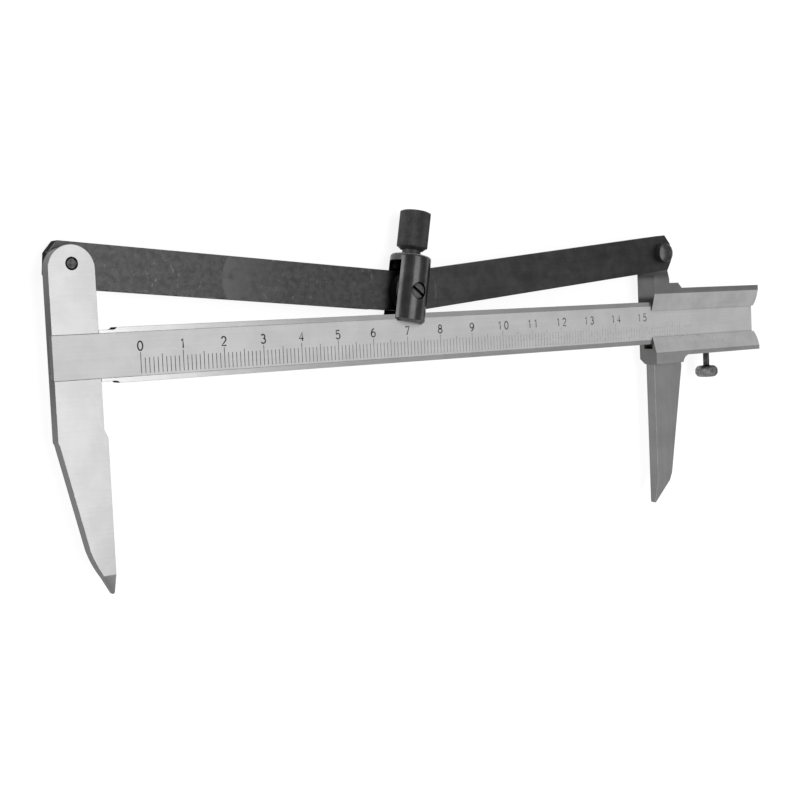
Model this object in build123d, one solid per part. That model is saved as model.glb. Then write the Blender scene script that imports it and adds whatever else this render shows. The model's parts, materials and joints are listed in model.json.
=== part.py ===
from build123d import *
import math
import os

# Vernier caliper with a folding centre linkage, in millimetres.
# X runs along the beam from the fixed measuring face, Y points from the jaw tips
# towards the arms, and Z comes out of the scale face.  The origin is the middle of
# the fixed measuring face.  The pieces are modelled with Y counted from the centre
# line of the beam, and are moved up to the origin's height when they are written.

# Beam
beam_line_y = 33.0
beam_height = 11.6
beam_thickness = 3.0
beam_end_inset = 1.2
beam_corner_chamfer = 0.5
scale_band_height = 9.3
scale_band_depth = 0.15
root_relief_depth = 0.45
root_relief_end_x = 1.9
root_relief_curve_length = 1.3
root_relief_curve_along_share = 0.75
root_relief_curve_up_share = 0.35

# Fixed jaw and its ear
jaw_outer_x = -11.0
jaw_relief = 0.8
ear_round_below_pivot = 1.2
jaw_corner_drop = 17.2
jaw_corner_cut = 0.3
jaw_corner_cut_height = 0.6
jaw_step_start_drop = 15.3
jaw_step_end_drop = 17.0
fixed_slant_end_x = -5.45
fixed_slant_end_drop = 40.0
fixed_curve_mid_x = -4.3
fixed_curve_mid_drop = 43.0
fixed_curve_end_x = -2.35
fixed_curve_end_drop = 46.4
tip_drop = 50.0
tip_width = 0.35
tip_facet_length = 4.4
tip_thickness = 1.6

# Linkage
ear_pivot_x = -5.8
arm_pivot_height = 19.1
slider_pivot_from_face = 4.1
arm_to_beam_gap = 0.5
arm_width = 9.6
arm_thickness = 3.0
arm_end_past_pivot = 3.9
arm_end_clip_along = 1.85
arm_end_clip_across = 2.6
thin_eye_thickness = 1.4
thin_eye_margin = 0.08
body_lean = 10.9

# Pins, washers and fits
ear_pin_diameter = 2.66
pivot_shank_diameter = 2.6
running_clearance = 0.05
face_clearance = 0.02
thin_washer = 0.2
thick_washer = 0.35
washer_diameter = 6.6
rivet_head_diameter = 4.6
rivet_head_height = 0.7
rivet_head_round = 0.4
pin_end_chamfer = 0.3

# Centre body and its clamp screw
body_diameter = 10.0
body_straddle = 2.35
body_cap_thickness = 1.8
body_slot_front_gap = 0.1
body_slot_back_gap = 0.1
body_slot_over_arm = 2.15
body_top_round = 0.8
body_bottom_chamfer = 0.7
centre_screw_head_diameter = 3.6
centre_screw_head_gap = 0.25
centre_screw_head_height = 0.95
centre_screw_head_front_z = 3.6
centre_screw_end_gap = 0.35
screw_slot_width = 0.75
screw_slot_depth = 0.6
centre_screw_slot_angle = -45.0
clamp_stem_diameter = 2.5
clamp_neck_diameter = 4.5
clamp_neck_height = 1.3
clamp_knob_diameter = 7.4
clamp_knob_length = 9.45
clamp_knob_bottom_chamfer = 0.9
clamp_knob_top_round = 0.6
clamp_pad_diameter = 3.6
clamp_pad_thickness = 1.0
clamp_pad_gap = 0.9

# Slider
reading = 162.6
slider_lead = 0.5
slider_length = 43.3
slider_top = 9.4
slider_bottom = 9.3
slider_front_z = 3.0
slider_back_z = -3.3
slide_clearance = 0.05
gib_space = 1.3
window_top = 3.4
window_bottom = 3.95
bevel_top = 7.95
bevel_bottom = 8.15
lip_edge_thickness = 0.15
shelf_rise = 1.45
shelf_right_past_pivot = 4.85
shelf_chamfer_width = 1.4
lip_end_cut = 0.9
lip_end_cut_height = 2.9
lip_end_curve_along_share = 0.3
lip_end_curve_up_share = 0.45
tongue_thickness = 1.55
tongue_radius = 4.6
tongue_flare_rise = 1.15
tongue_flare_past_pivot = 6.5
seat_margin = 2.8
boss_depth = 2.0
boss_right_from_face = 10.2
boss_shoulder = 2.1
boss_curve_share = 0.35
boss_back_slant_height = 1.4

# Sliding jaw
sliding_root_width = 10.9
sliding_root_drop = 12.6
sliding_slant_end_width = 5.8
sliding_slant_end_drop = 41.9
sliding_nose_width = 4.9
sliding_nose_drop = 43.9
jaw_socket_width = 9.0
jaw_socket_shoulder = 0.4
jaw_socket_depth = 1.9
sliding_facet_length = 6.0

# Back plate, gib and lock screw
plate_end_rim = 1.1
plate_screw_end_margin = 4.0
plate_screw_top_inset = 1.8
plate_screw_bottom_inset = 1.1
plate_screw_diameter = 1.2
plate_screw_head_diameter = 2.0
plate_screw_head_height = 0.45
plate_screw_bite = 1.3
plate_screw_slot_width = 0.3
plate_screw_slot_depth = 0.2
gib_thickness = 0.6
gib_end_margin = 3.5
gib_side_margin = 0.1
spring_thickness = 0.18
spring_end_margin = 5.0
spring_lock_gap = 4.5
spring_gap = 0.02
lock_place_share = 0.5405
lock_stem_diameter = 1.7
lock_head_diameter = 6.2
lock_head_thickness = 3.2
lock_head_below_slider = 3.75
lock_head_round = 1.2
pivot_head_diameter = 5.2
pivot_rim_height = 1.95
pivot_dome_height = 0.7
pivot_nut_width = 4.6
pivot_nut_thickness = 1.3

# Worked-out places
half_beam = beam_height / 2
beam_front_z = beam_thickness / 2
beam_back_z = -beam_front_z
jaw_inner_x = -jaw_relief
ear_radius = (jaw_inner_x - jaw_outer_x) / 2
ear_centre_x = (jaw_inner_x + jaw_outer_x) / 2
half_arm = arm_width / 2
ear_round_height = arm_pivot_height - ear_round_below_pivot
slider_pivot_x = reading + slider_pivot_from_face
centre_height = half_beam + arm_to_beam_gap + half_arm
centre_pivot_drop = arm_pivot_height - centre_height
half_span = (slider_pivot_x - ear_pivot_x) / 2
arm_length = math.hypot(half_span, centre_pivot_drop)
arm_droop = math.degrees(math.atan2(centre_pivot_drop, half_span))
centre_x = ear_pivot_x + half_span
left_arm_front_z = beam_back_z - thin_washer
left_arm_back_z = left_arm_front_z - arm_thickness
thin_eye_back_z = left_arm_front_z - thin_eye_thickness
right_arm_front_z = beam_front_z
right_arm_back_z = right_arm_front_z - arm_thickness
slot_front_z = right_arm_front_z + body_slot_front_gap
slot_back_z = thin_eye_back_z - body_slot_back_gap
body_axis_z = (slot_front_z + slot_back_z) / 2
body_back_z = body_axis_z - body_diameter / 2
body_below_pivot = centre_height - half_beam + body_straddle
body_slot_top = half_arm + body_slot_over_arm
body_above_pivot = body_slot_top + body_cap_thickness
thin_eye_reach = math.hypot(body_below_pivot, body_diameter / 2) + thin_eye_margin
clamp_stem_end = half_arm + clamp_pad_gap + clamp_pad_thickness
ear_pin_radius = ear_pin_diameter / 2
pivot_shank_radius = pivot_shank_diameter / 2
slider_left_x = reading - slider_lead
slider_right_x = slider_left_x + slider_length
beam_end_x = slider_right_x - beam_end_inset
shelf_top = slider_top + shelf_rise
tongue_flare_height = shelf_top + tongue_flare_rise
seat_radius = half_arm + seat_margin
boss_bottom = slider_bottom + boss_depth
tongue_front_z = slider_back_z + tongue_thickness
channel_top = half_beam + slide_clearance
channel_bottom = half_beam + gib_space
channel_front_z = beam_front_z + slide_clearance
channel_back_z = beam_back_z - slide_clearance
lock_x = slider_left_x + slider_length * lock_place_share
lock_head_drop = slider_bottom + lock_head_below_slider
plate_left_x = slider_left_x + plate_end_rim
plate_right_x = slider_right_x - plate_end_rim

# Helpers


def block(x_low, x_high, y_low, y_high, z_low, z_high):
    """Rectangular block between six planes."""
    size = Box(x_high - x_low, y_high - y_low, z_high - z_low)
    return Pos((x_low + x_high) / 2, (y_low + y_high) / 2, (z_low + z_high) / 2) * size


def plate(outline, z_low, z_high):
    """Plate with a closed outline in X and Y between two heights."""
    face = make_face(outline)
    return Pos(0, 0, z_low) * extrude(face, amount=z_high - z_low, dir=(0, 0, 1))


def rod(x, y, z_low, z_high, radius):
    """Round rod along Z."""
    return Pos(x, y, (z_low + z_high) / 2) * Cylinder(radius, z_high - z_low)


def ring(x, y, z_low, z_high, outer_radius, inner_radius):
    """Washer along Z."""
    return rod(x, y, z_low, z_high, outer_radius) - rod(x, y, z_low, z_high, inner_radius)


def upright(x, z, y_low, y_high, radius):
    """Round rod along Y."""
    return Pos(x, (y_low + y_high) / 2, z) * Rot(90, 0, 0) * Cylinder(radius, y_high - y_low)


def closed_path(points):
    """Closed outline of straight lines."""
    return Polyline(*points, close=True)


# Beam


def make_beam():
    """Bar with a sunk scale band, relieved at the jaw, with a half-thick tail inside the jaw."""
    relief_y = half_beam - root_relief_depth
    relief_full_x = root_relief_end_x + root_relief_curve_length
    curve_mid_x = root_relief_end_x + root_relief_curve_length * root_relief_curve_along_share
    curve_mid_y = relief_y + root_relief_depth * root_relief_curve_up_share
    corner = beam_corner_chamfer
    outline = Polyline(
        (jaw_inner_x, -relief_y),
        (jaw_inner_x, relief_y),
        (root_relief_end_x, relief_y),
    )
    outline += ThreePointArc(
        (root_relief_end_x, relief_y), (curve_mid_x, curve_mid_y), (relief_full_x, half_beam)
    )
    outline += Polyline(
        (relief_full_x, half_beam),
        (beam_end_x - corner, half_beam),
        (beam_end_x, half_beam - corner),
        (beam_end_x, corner - half_beam),
        (beam_end_x - corner, -half_beam),
        (relief_full_x, -half_beam),
    )
    outline += ThreePointArc(
        (relief_full_x, -half_beam), (curve_mid_x, -curve_mid_y), (root_relief_end_x, -relief_y)
    )
    outline += Line((root_relief_end_x, -relief_y), (jaw_inner_x, -relief_y))
    bar = plate(outline, beam_back_z, beam_front_z)
    half_band = scale_band_height / 2
    tail = block(jaw_outer_x, jaw_inner_x, -half_band, half_band, 0, beam_front_z)
    band = block(
        jaw_outer_x, beam_end_x, -half_band, half_band, beam_front_z - scale_band_depth, beam_front_z
    )
    return bar + tail - band


# Fixed jaw


def front_facet(left_x, right_x, length):
    """Wedge that thins a jaw tip from its front face."""
    start_drop = tip_drop - length
    profile = closed_path(
        [
            (-start_drop, beam_front_z),
            (-tip_drop - length, beam_front_z),
            (-tip_drop - length, beam_back_z),
            (-tip_drop, beam_back_z + tip_thickness),
        ]
    )
    face = Plane.YZ * make_face(profile)
    return Pos(left_x, 0, 0) * extrude(face, amount=right_x - left_x, dir=(1, 0, 0))


def make_fixed_jaw():
    """Jaw plate with a round-topped ear, halved across for the tail of the beam."""
    outline = Polyline(
        (jaw_outer_x, ear_round_height),
        (jaw_outer_x, -jaw_corner_drop),
        (jaw_outer_x + jaw_corner_cut, -jaw_corner_drop - jaw_corner_cut_height),
        (fixed_slant_end_x, -fixed_slant_end_drop),
    )
    outline += ThreePointArc(
        (fixed_slant_end_x, -fixed_slant_end_drop),
        (fixed_curve_mid_x, -fixed_curve_mid_drop),
        (fixed_curve_end_x, -fixed_curve_end_drop),
    )
    outline += Polyline(
        (fixed_curve_end_x, -fixed_curve_end_drop),
        (-tip_width, -tip_drop),
        (0, -tip_drop + tip_width),
        (0, -jaw_step_end_drop),
        (jaw_inner_x, -jaw_step_start_drop),
        (jaw_inner_x, ear_round_height),
    )
    outline += ThreePointArc(
        (jaw_inner_x, ear_round_height),
        (ear_centre_x, ear_round_height + ear_radius),
        (jaw_outer_x, ear_round_height),
    )
    jaw = plate(outline, beam_back_z, beam_front_z)
    half_band = scale_band_height / 2
    jaw -= block(jaw_outer_x, jaw_inner_x, -half_band, half_band, 0, beam_front_z)
    jaw -= front_facet(jaw_outer_x, beam_thickness, tip_facet_length)
    jaw -= rod(ear_pivot_x, arm_pivot_height, beam_back_z, beam_front_z, ear_pin_radius)
    return jaw


def make_ear_pivot_pin():
    """Pin through the ear with a chamfered front end and a round head behind the left arm."""
    head_front_z = left_arm_back_z - thick_washer - face_clearance
    head_back_z = head_front_z - rivet_head_height
    pin = rod(ear_pivot_x, arm_pivot_height, head_front_z, beam_front_z, ear_pin_radius)
    pin = chamfer(pin.edges().sort_by(Axis.Z)[-1], pin_end_chamfer)
    head = rod(ear_pivot_x, arm_pivot_height, head_back_z, head_front_z, rivet_head_diameter / 2)
    head = fillet(head.edges().sort_by(Axis.Z)[0], rivet_head_round)
    return pin + head


# Linkage arms


def arm_outline(clipped_end_x, eye_x):
    """Arm along X with a clipped end past one pivot and a round eye at the other."""
    towards_eye = math.copysign(1, eye_x - clipped_end_x)
    end_x = clipped_end_x - towards_eye * arm_end_past_pivot
    clip_x = end_x + towards_eye * arm_end_clip_along
    clip_y = half_arm - arm_end_clip_across
    outline = Polyline(
        (eye_x, -half_arm),
        (clip_x, -half_arm),
        (end_x, -clip_y),
        (end_x, clip_y),
        (clip_x, half_arm),
        (eye_x, half_arm),
    )
    outline += ThreePointArc(
        (eye_x, half_arm), (eye_x + towards_eye * half_arm, 0), (eye_x, -half_arm)
    )
    return outline


def make_left_arm():
    """Arm behind the ear, thinned from the back where it enters the centre body."""
    arm = plate(arm_outline(0, arm_length), left_arm_back_z, left_arm_front_z)
    arm -= block(
        arm_length - thin_eye_reach,
        arm_length + arm_width,
        -arm_width,
        arm_width,
        left_arm_back_z,
        thin_eye_back_z,
    )
    arm -= rod(0, 0, left_arm_back_z, left_arm_front_z, ear_pin_radius + running_clearance)
    arm -= rod(
        arm_length, 0, left_arm_back_z, left_arm_front_z, pivot_shank_radius + running_clearance
    )
    return Pos(ear_pivot_x, arm_pivot_height, 0) * Rot(0, 0, -arm_droop) * arm


def make_right_arm():
    """Arm in the plane of the beam, from the centre body to the slider."""
    arm = plate(arm_outline(0, -arm_length), right_arm_back_z, right_arm_front_z)
    for pivot_x in (0, -arm_length):
        arm -= rod(
            pivot_x, 0, right_arm_back_z, right_arm_front_z, pivot_shank_radius + running_clearance
        )
    return Pos(slider_pivot_x, arm_pivot_height, 0) * Rot(0, 0, arm_droop) * arm


def make_ear_friction_washer():
    """Thin washer between the ear and the left arm."""
    return ring(
        ear_pivot_x,
        arm_pivot_height,
        left_arm_front_z + face_clearance,
        beam_back_z,
        washer_diameter / 2,
        ear_pin_radius,
    )


def make_ear_rivet_washer():
    """Washer between the left arm and the rivet head."""
    front_z = left_arm_back_z - face_clearance
    return ring(
        ear_pivot_x,
        arm_pivot_height,
        left_arm_back_z - thick_washer - face_clearance,
        front_z,
        washer_diameter / 2,
        ear_pin_radius,
    )


def make_eye_friction_washer():
    """Thin washer between the eyes of the two arms."""
    return ring(
        centre_x,
        centre_height,
        left_arm_front_z + face_clearance,
        right_arm_back_z - face_clearance,
        washer_diameter / 2,
        pivot_shank_radius,
    )


# Centre body, modelled upright about its pivot and then leaned


def lean(shape):
    """Move a piece from the pivot at zero to its leaning place on the caliper."""
    return Pos(centre_x, centre_height, 0) * Rot(0, 0, -body_lean) * shape


def make_centre_body():
    """Slotted round body that straddles the beam, with a bored cap for the clamp screw."""
    radius = body_diameter / 2
    body = upright(0, body_axis_z, -body_below_pivot, body_above_pivot, radius)
    body = fillet(body.edges().sort_by(Axis.Y)[-1], body_top_round)
    body = chamfer(body.edges().sort_by(Axis.Y)[0], body_bottom_chamfer)
    body -= block(-radius, radius, -body_below_pivot, body_slot_top, slot_back_z, slot_front_z)
    stem_hole_radius = clamp_stem_diameter / 2 + running_clearance
    body -= upright(0, body_axis_z, body_slot_top, body_above_pivot, stem_hole_radius)
    body -= rod(0, 0, body_back_z, slot_back_z, pivot_shank_radius)
    head_back_z = centre_screw_head_front_z - centre_screw_head_height
    body -= rod(0, 0, slot_front_z, head_back_z, pivot_shank_radius)
    head_hole_radius = centre_screw_head_diameter / 2 + centre_screw_head_gap
    body -= rod(0, 0, head_back_z, slot_front_z + radius, head_hole_radius)
    return lean(body)


def make_centre_pivot_screw():
    """Slotted pivot screw with a flush head, through both eyes into the back wall."""
    head_front_z = centre_screw_head_front_z
    head_back_z = head_front_z - centre_screw_head_height
    screw = rod(0, 0, head_back_z, head_front_z, centre_screw_head_diameter / 2)
    screw += rod(0, 0, body_back_z + centre_screw_end_gap, head_back_z, pivot_shank_radius)
    slot = Box(centre_screw_head_diameter + screw_slot_width, screw_slot_width, screw_slot_depth * 2)
    screw -= Pos(0, 0, head_front_z) * Rot(0, 0, centre_screw_slot_angle) * slot
    return lean(screw)


def make_clamp_screw():
    """Round knob, neck and stem turned from one bar."""
    knob_low = body_above_pivot + face_clearance + clamp_neck_height
    knob_high = knob_low + clamp_knob_length
    knob = upright(0, body_axis_z, knob_low, knob_high, clamp_knob_diameter / 2)
    knob = fillet(knob.edges().sort_by(Axis.Y)[-1], clamp_knob_top_round)
    knob = chamfer(knob.edges().sort_by(Axis.Y)[0], clamp_knob_bottom_chamfer)
    neck_low = body_above_pivot + face_clearance
    screw = knob + upright(0, body_axis_z, neck_low, knob_low, clamp_neck_diameter / 2)
    screw += upright(0, body_axis_z, clamp_stem_end, neck_low, clamp_stem_diameter / 2)
    return lean(screw)


def make_clamp_pad():
    """Soft pad under the clamp stem, just clear of the arm edges when loose."""
    pad_low = clamp_stem_end - clamp_pad_thickness
    return lean(upright(0, body_axis_z, pad_low, clamp_stem_end, clamp_pad_diameter / 2))


# Slider


def make_slider_body():
    """Bevelled slider with a window, a riser for the arm and a boss for the jaw."""
    section = closed_path(
        [
            (-slider_bottom, slider_back_z),
            (slider_top, slider_back_z),
            (slider_top, slider_front_z),
            (bevel_top, slider_front_z),
            (window_top, channel_front_z + lip_edge_thickness),
            (window_top, channel_front_z),
            (channel_top, channel_front_z),
            (channel_top, channel_back_z),
            (-channel_bottom, channel_back_z),
            (-channel_bottom, channel_front_z),
            (-window_bottom, channel_front_z),
            (-window_bottom, channel_front_z + lip_edge_thickness),
            (-bevel_bottom, slider_front_z),
            (-slider_bottom, slider_front_z),
        ]
    )
    sleeve = extrude(Plane.YZ * make_face(section), amount=slider_length, dir=(1, 0, 0))
    body = Pos(slider_left_x, 0, 0) * sleeve
    body += plate(riser_outline(), slider_back_z, slider_front_z)
    body -= seat_cut()
    body += plate(tongue_outline(), slider_back_z, tongue_front_z)
    body += plate(boss_outline(), slider_back_z, slider_front_z)
    body -= boss_back_slant()
    for side in (1, -1):
        body -= plate(lip_end_cut_outline(side), channel_front_z, slider_front_z)
    body -= block(
        reading + jaw_socket_shoulder,
        reading + jaw_socket_width,
        -boss_bottom,
        jaw_socket_depth - boss_bottom,
        beam_back_z,
        beam_front_z,
    )
    body -= block(
        plate_left_x, plate_right_x, -slider_bottom, slider_top, slider_back_z, channel_back_z
    )
    body -= rod(
        slider_pivot_x,
        arm_pivot_height,
        slider_back_z,
        tongue_front_z,
        pivot_shank_radius + running_clearance,
    )
    body -= upright(
        lock_x, 0, -slider_bottom, -channel_bottom, lock_stem_diameter / 2 + running_clearance
    )
    for x, y in plate_screw_places():
        body -= rod(x, y, channel_back_z, channel_back_z + plate_screw_bite, plate_screw_diameter / 2)
    return body


def riser_outline():
    """Outline of the riser, with a round top and a shelf step on its right."""
    shelf_x = slider_pivot_x + shelf_right_past_pivot
    outline = Polyline(
        (slider_pivot_x + tongue_radius, arm_pivot_height),
        (slider_pivot_x + tongue_radius, shelf_top),
        (shelf_x, shelf_top),
        (shelf_x + shelf_chamfer_width, slider_top),
        (slider_left_x, slider_top),
        (slider_left_x, arm_pivot_height),
    )
    outline += ThreePointArc(
        (slider_left_x, arm_pivot_height),
        (slider_pivot_x, arm_pivot_height + tongue_radius),
        (slider_pivot_x + tongue_radius, arm_pivot_height),
    )
    return outline


def tongue_outline():
    """Outline of the thin tongue behind the arm, which flares towards the slider."""
    flare_x = slider_pivot_x + tongue_flare_past_pivot
    outline = Polyline(
        (slider_pivot_x + tongue_radius, arm_pivot_height),
        (flare_x, tongue_flare_height),
        (flare_x, slider_top),
        (slider_left_x, slider_top),
        (slider_left_x, arm_pivot_height),
    )
    outline += ThreePointArc(
        (slider_left_x, arm_pivot_height),
        (slider_pivot_x, arm_pivot_height + tongue_radius),
        (slider_pivot_x + tongue_radius, arm_pivot_height),
    )
    return outline


def lip_end_cut_outline(side):
    """Outline of the rounded cut at the thin end corner of a lip, above or below the window."""
    edge_y = window_top if side > 0 else -window_bottom
    start = (slider_right_x - lip_end_cut, edge_y)
    end = (slider_right_x, edge_y + side * lip_end_cut_height)
    middle = (
        slider_right_x - lip_end_cut * lip_end_curve_along_share,
        edge_y + side * lip_end_cut_height * lip_end_curve_up_share,
    )
    past_x = slider_right_x + lip_end_cut
    outline = ThreePointArc(start, middle, end)
    outline += Polyline(end, (past_x, end[1]), (past_x, 0), (start[0], 0), start)
    return outline


def seat_cut():
    """Seat milled from the front so that the arm lies on a thin tongue."""
    seat = rod(slider_pivot_x, arm_pivot_height, tongue_front_z, slider_front_z, seat_radius)
    seat += block(
        slider_pivot_x,
        slider_pivot_x + seat_radius,
        shelf_top,
        arm_pivot_height + seat_radius,
        tongue_front_z,
        slider_front_z,
    )
    return seat


def boss_outline():
    """Outline of the boss that holds the sliding jaw."""
    right_x = reading + boss_right_from_face
    shoulder_x = right_x + boss_shoulder
    outline = Polyline(
        (shoulder_x, -slider_bottom),
        (slider_left_x, -slider_bottom),
        (slider_left_x, -boss_bottom),
        (right_x, -boss_bottom),
    )
    outline += ThreePointArc(
        (right_x, -boss_bottom),
        (
            right_x + boss_shoulder * boss_curve_share,
            -slider_bottom - boss_depth * boss_curve_share,
        ),
        (shoulder_x, -slider_bottom),
    )
    return outline


def boss_back_slant():
    """Wedge that slants the back of the boss towards the jaw."""
    profile = closed_path(
        [
            (-boss_bottom, beam_back_z),
            (-boss_bottom, slider_back_z),
            (boss_back_slant_height - boss_bottom, slider_back_z),
        ]
    )
    face = Plane.YZ * make_face(profile)
    return Pos(slider_left_x, 0, 0) * extrude(face, amount=slider_length, dir=(1, 0, 0))


def make_sliding_jaw():
    """Moving jaw plate, brazed into the socket of the boss."""
    socket_right_x = reading + jaw_socket_width
    outline = closed_path(
        [
            (reading + jaw_socket_shoulder, jaw_socket_depth - boss_bottom),
            (reading + jaw_socket_shoulder, -boss_bottom),
            (reading, -boss_bottom),
            (reading, -tip_drop + tip_width),
            (reading + tip_width, -tip_drop),
            (reading + sliding_nose_width, -sliding_nose_drop),
            (reading + sliding_slant_end_width, -sliding_slant_end_drop),
            (reading + sliding_root_width, -sliding_root_drop),
            (reading + sliding_root_width, -boss_bottom),
            (socket_right_x, -boss_bottom),
            (socket_right_x, jaw_socket_depth - boss_bottom),
        ]
    )
    jaw = plate(outline, beam_back_z, beam_front_z)
    return jaw - front_facet(reading - jaw_relief, socket_right_x, sliding_facet_length)


# Slider fittings


def plate_screw_places():
    """Centres of the back plate screws."""
    left_x = plate_left_x + plate_screw_end_margin
    right_x = plate_right_x - plate_screw_end_margin
    top_y = slider_top - plate_screw_top_inset
    bottom_y = plate_screw_bottom_inset - slider_bottom
    return [(left_x, top_y), (right_x, top_y), (left_x, bottom_y), (right_x, bottom_y)]


def countersunk_head(x, y):
    """Cone of a countersunk head that is flush with the back of the slider."""
    head = Cone(plate_screw_head_diameter / 2, plate_screw_diameter / 2, plate_screw_head_height)
    return Pos(x, y, slider_back_z + plate_screw_head_height / 2) * head


def make_slider_back_plate():
    """Plate that closes the channel behind the beam."""
    cover = block(
        plate_left_x, plate_right_x, -slider_bottom, slider_top, slider_back_z, channel_back_z
    )
    for x, y in plate_screw_places():
        cover -= countersunk_head(x, y)
        cover -= rod(x, y, slider_back_z, channel_back_z, plate_screw_diameter / 2)
    return cover


def make_back_plate_screws():
    """Countersunk screws that hold the back plate."""
    screws = []
    for x, y in plate_screw_places():
        shank_low_z = slider_back_z + plate_screw_head_height
        screw = countersunk_head(x, y)
        screw += rod(x, y, shank_low_z, channel_back_z + plate_screw_bite, plate_screw_diameter / 2)
        slot = Box(plate_screw_head_diameter, plate_screw_slot_width, plate_screw_slot_depth * 2)
        screws.append(screw - Pos(x, y, slider_back_z) * slot)
    return Compound(children=screws)


def make_gib_strip():
    """Flat strip that bears on the lower edge of the beam."""
    side = beam_front_z - gib_side_margin
    top = -half_beam - slide_clearance
    return block(
        slider_left_x + gib_end_margin,
        slider_right_x - gib_end_margin,
        top - gib_thickness,
        top,
        -side,
        side,
    )


def make_gib_springs():
    """Two bowed leaf springs that push the gib strip up."""
    side = beam_front_z - gib_side_margin
    high = -half_beam - slide_clearance - gib_thickness - spring_gap
    low = -channel_bottom + spring_gap
    spans = [
        (slider_left_x + spring_end_margin, lock_x - spring_lock_gap),
        (lock_x + spring_lock_gap, slider_right_x - spring_end_margin),
    ]
    springs = []
    for start_x, end_x in spans:
        middle_x = (start_x + end_x) / 2
        end_top = low + spring_thickness
        leaf = ThreePointArc((start_x, end_top), (middle_x, high), (end_x, end_top))
        leaf += Line((end_x, end_top), (end_x, low))
        leaf += ThreePointArc((end_x, low), (middle_x, high - spring_thickness), (start_x, low))
        leaf += Line((start_x, low), (start_x, end_top))
        springs.append(plate(leaf, -side, side))
    return Compound(children=springs)


def make_lock_screw():
    """Lock screw with a flat round head below the slider."""
    stem_top = -half_beam - slide_clearance - gib_thickness - slide_clearance
    head = upright(
        lock_x, 0, -lock_head_drop - lock_head_thickness, -lock_head_drop, lock_head_diameter / 2
    )
    rims = head.edges().group_by(Axis.Y)[0] + head.edges().group_by(Axis.Y)[-1]
    head = fillet(rims, lock_head_round)
    return head + upright(lock_x, 0, -lock_head_drop, stem_top, lock_stem_diameter / 2)


def make_slider_pivot_pin():
    """Pin of the right arm with a tall round head and a low dome."""
    head_back_z = right_arm_front_z + face_clearance
    head_front_z = head_back_z + pivot_rim_height + pivot_dome_height
    head_radius = pivot_head_diameter / 2
    dome_radius = (head_radius**2 + pivot_dome_height**2) / (2 * pivot_dome_height)
    head = rod(slider_pivot_x, arm_pivot_height, head_back_z, head_front_z, head_radius)
    head &= Pos(slider_pivot_x, arm_pivot_height, head_front_z - dome_radius) * Sphere(dome_radius)
    shank = rod(slider_pivot_x, arm_pivot_height, right_arm_back_z, head_back_z, pivot_shank_radius)
    return head + shank


def make_tongue_washer():
    """Thin washer between the right arm and the tongue."""
    return ring(
        slider_pivot_x,
        arm_pivot_height,
        tongue_front_z,
        right_arm_back_z - face_clearance,
        washer_diameter / 2,
        pivot_shank_radius + running_clearance,
    )


def make_tongue_nut():
    """Hexagon nut behind the tongue."""
    profile = RegularPolygon(pivot_nut_width / 2, 6, major_radius=False)
    nut = extrude(profile, amount=pivot_nut_thickness, dir=(0, 0, 1))
    nut = Pos(slider_pivot_x, arm_pivot_height, slider_back_z - pivot_nut_thickness) * nut
    bore = rod(
        slider_pivot_x,
        arm_pivot_height,
        slider_back_z - pivot_nut_thickness,
        slider_back_z,
        pivot_shank_radius + running_clearance,
    )
    return nut - bore


# Write every piece

pieces = {
    "beam": make_beam(),
    "fixed_jaw": make_fixed_jaw(),
    "ear_pivot_pin": make_ear_pivot_pin(),
    "ear_friction_washer": make_ear_friction_washer(),
    "ear_rivet_washer": make_ear_rivet_washer(),
    "left_arm": make_left_arm(),
    "right_arm": make_right_arm(),
    "eye_friction_washer": make_eye_friction_washer(),
    "centre_body": make_centre_body(),
    "centre_pivot_screw": make_centre_pivot_screw(),
    "clamp_screw": make_clamp_screw(),
    "clamp_pad": make_clamp_pad(),
    "slider_body": make_slider_body(),
    "sliding_jaw": make_sliding_jaw(),
    "slider_back_plate": make_slider_back_plate(),
    "back_plate_screws": make_back_plate_screws(),
    "gib_strip": make_gib_strip(),
    "gib_springs": make_gib_springs(),
    "lock_screw": make_lock_screw(),
    "slider_pivot_pin": make_slider_pivot_pin(),
    "tongue_washer": make_tongue_washer(),
    "tongue_nut": make_tongue_nut(),
}

os.makedirs("parts", exist_ok=True)
for name, piece in pieces.items():
    export_step(Pos(0, beam_line_y, 0) * piece, f"parts/{name}.step")
    print(name, round(piece.volume, 1))
print("arm length", round(arm_length, 3), "droop", round(arm_droop, 3), "centre", centre_x, centre_height)
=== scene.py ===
# %% [markdown]
# # Vernier caliper with a folding centre linkage
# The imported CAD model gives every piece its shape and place, in metres.  X runs
# along the beam, Y points from the jaw tips to the arms, and Z comes out of the
# scale face.  This lesson gives those pieces softened edges, real finishes, an
# engraved scale and knurled screws, and then sets up the light and the camera.

# %% Load the frame
import bmesh
import bpy
import json
import math
from mathutils import Matrix, Vector


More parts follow.
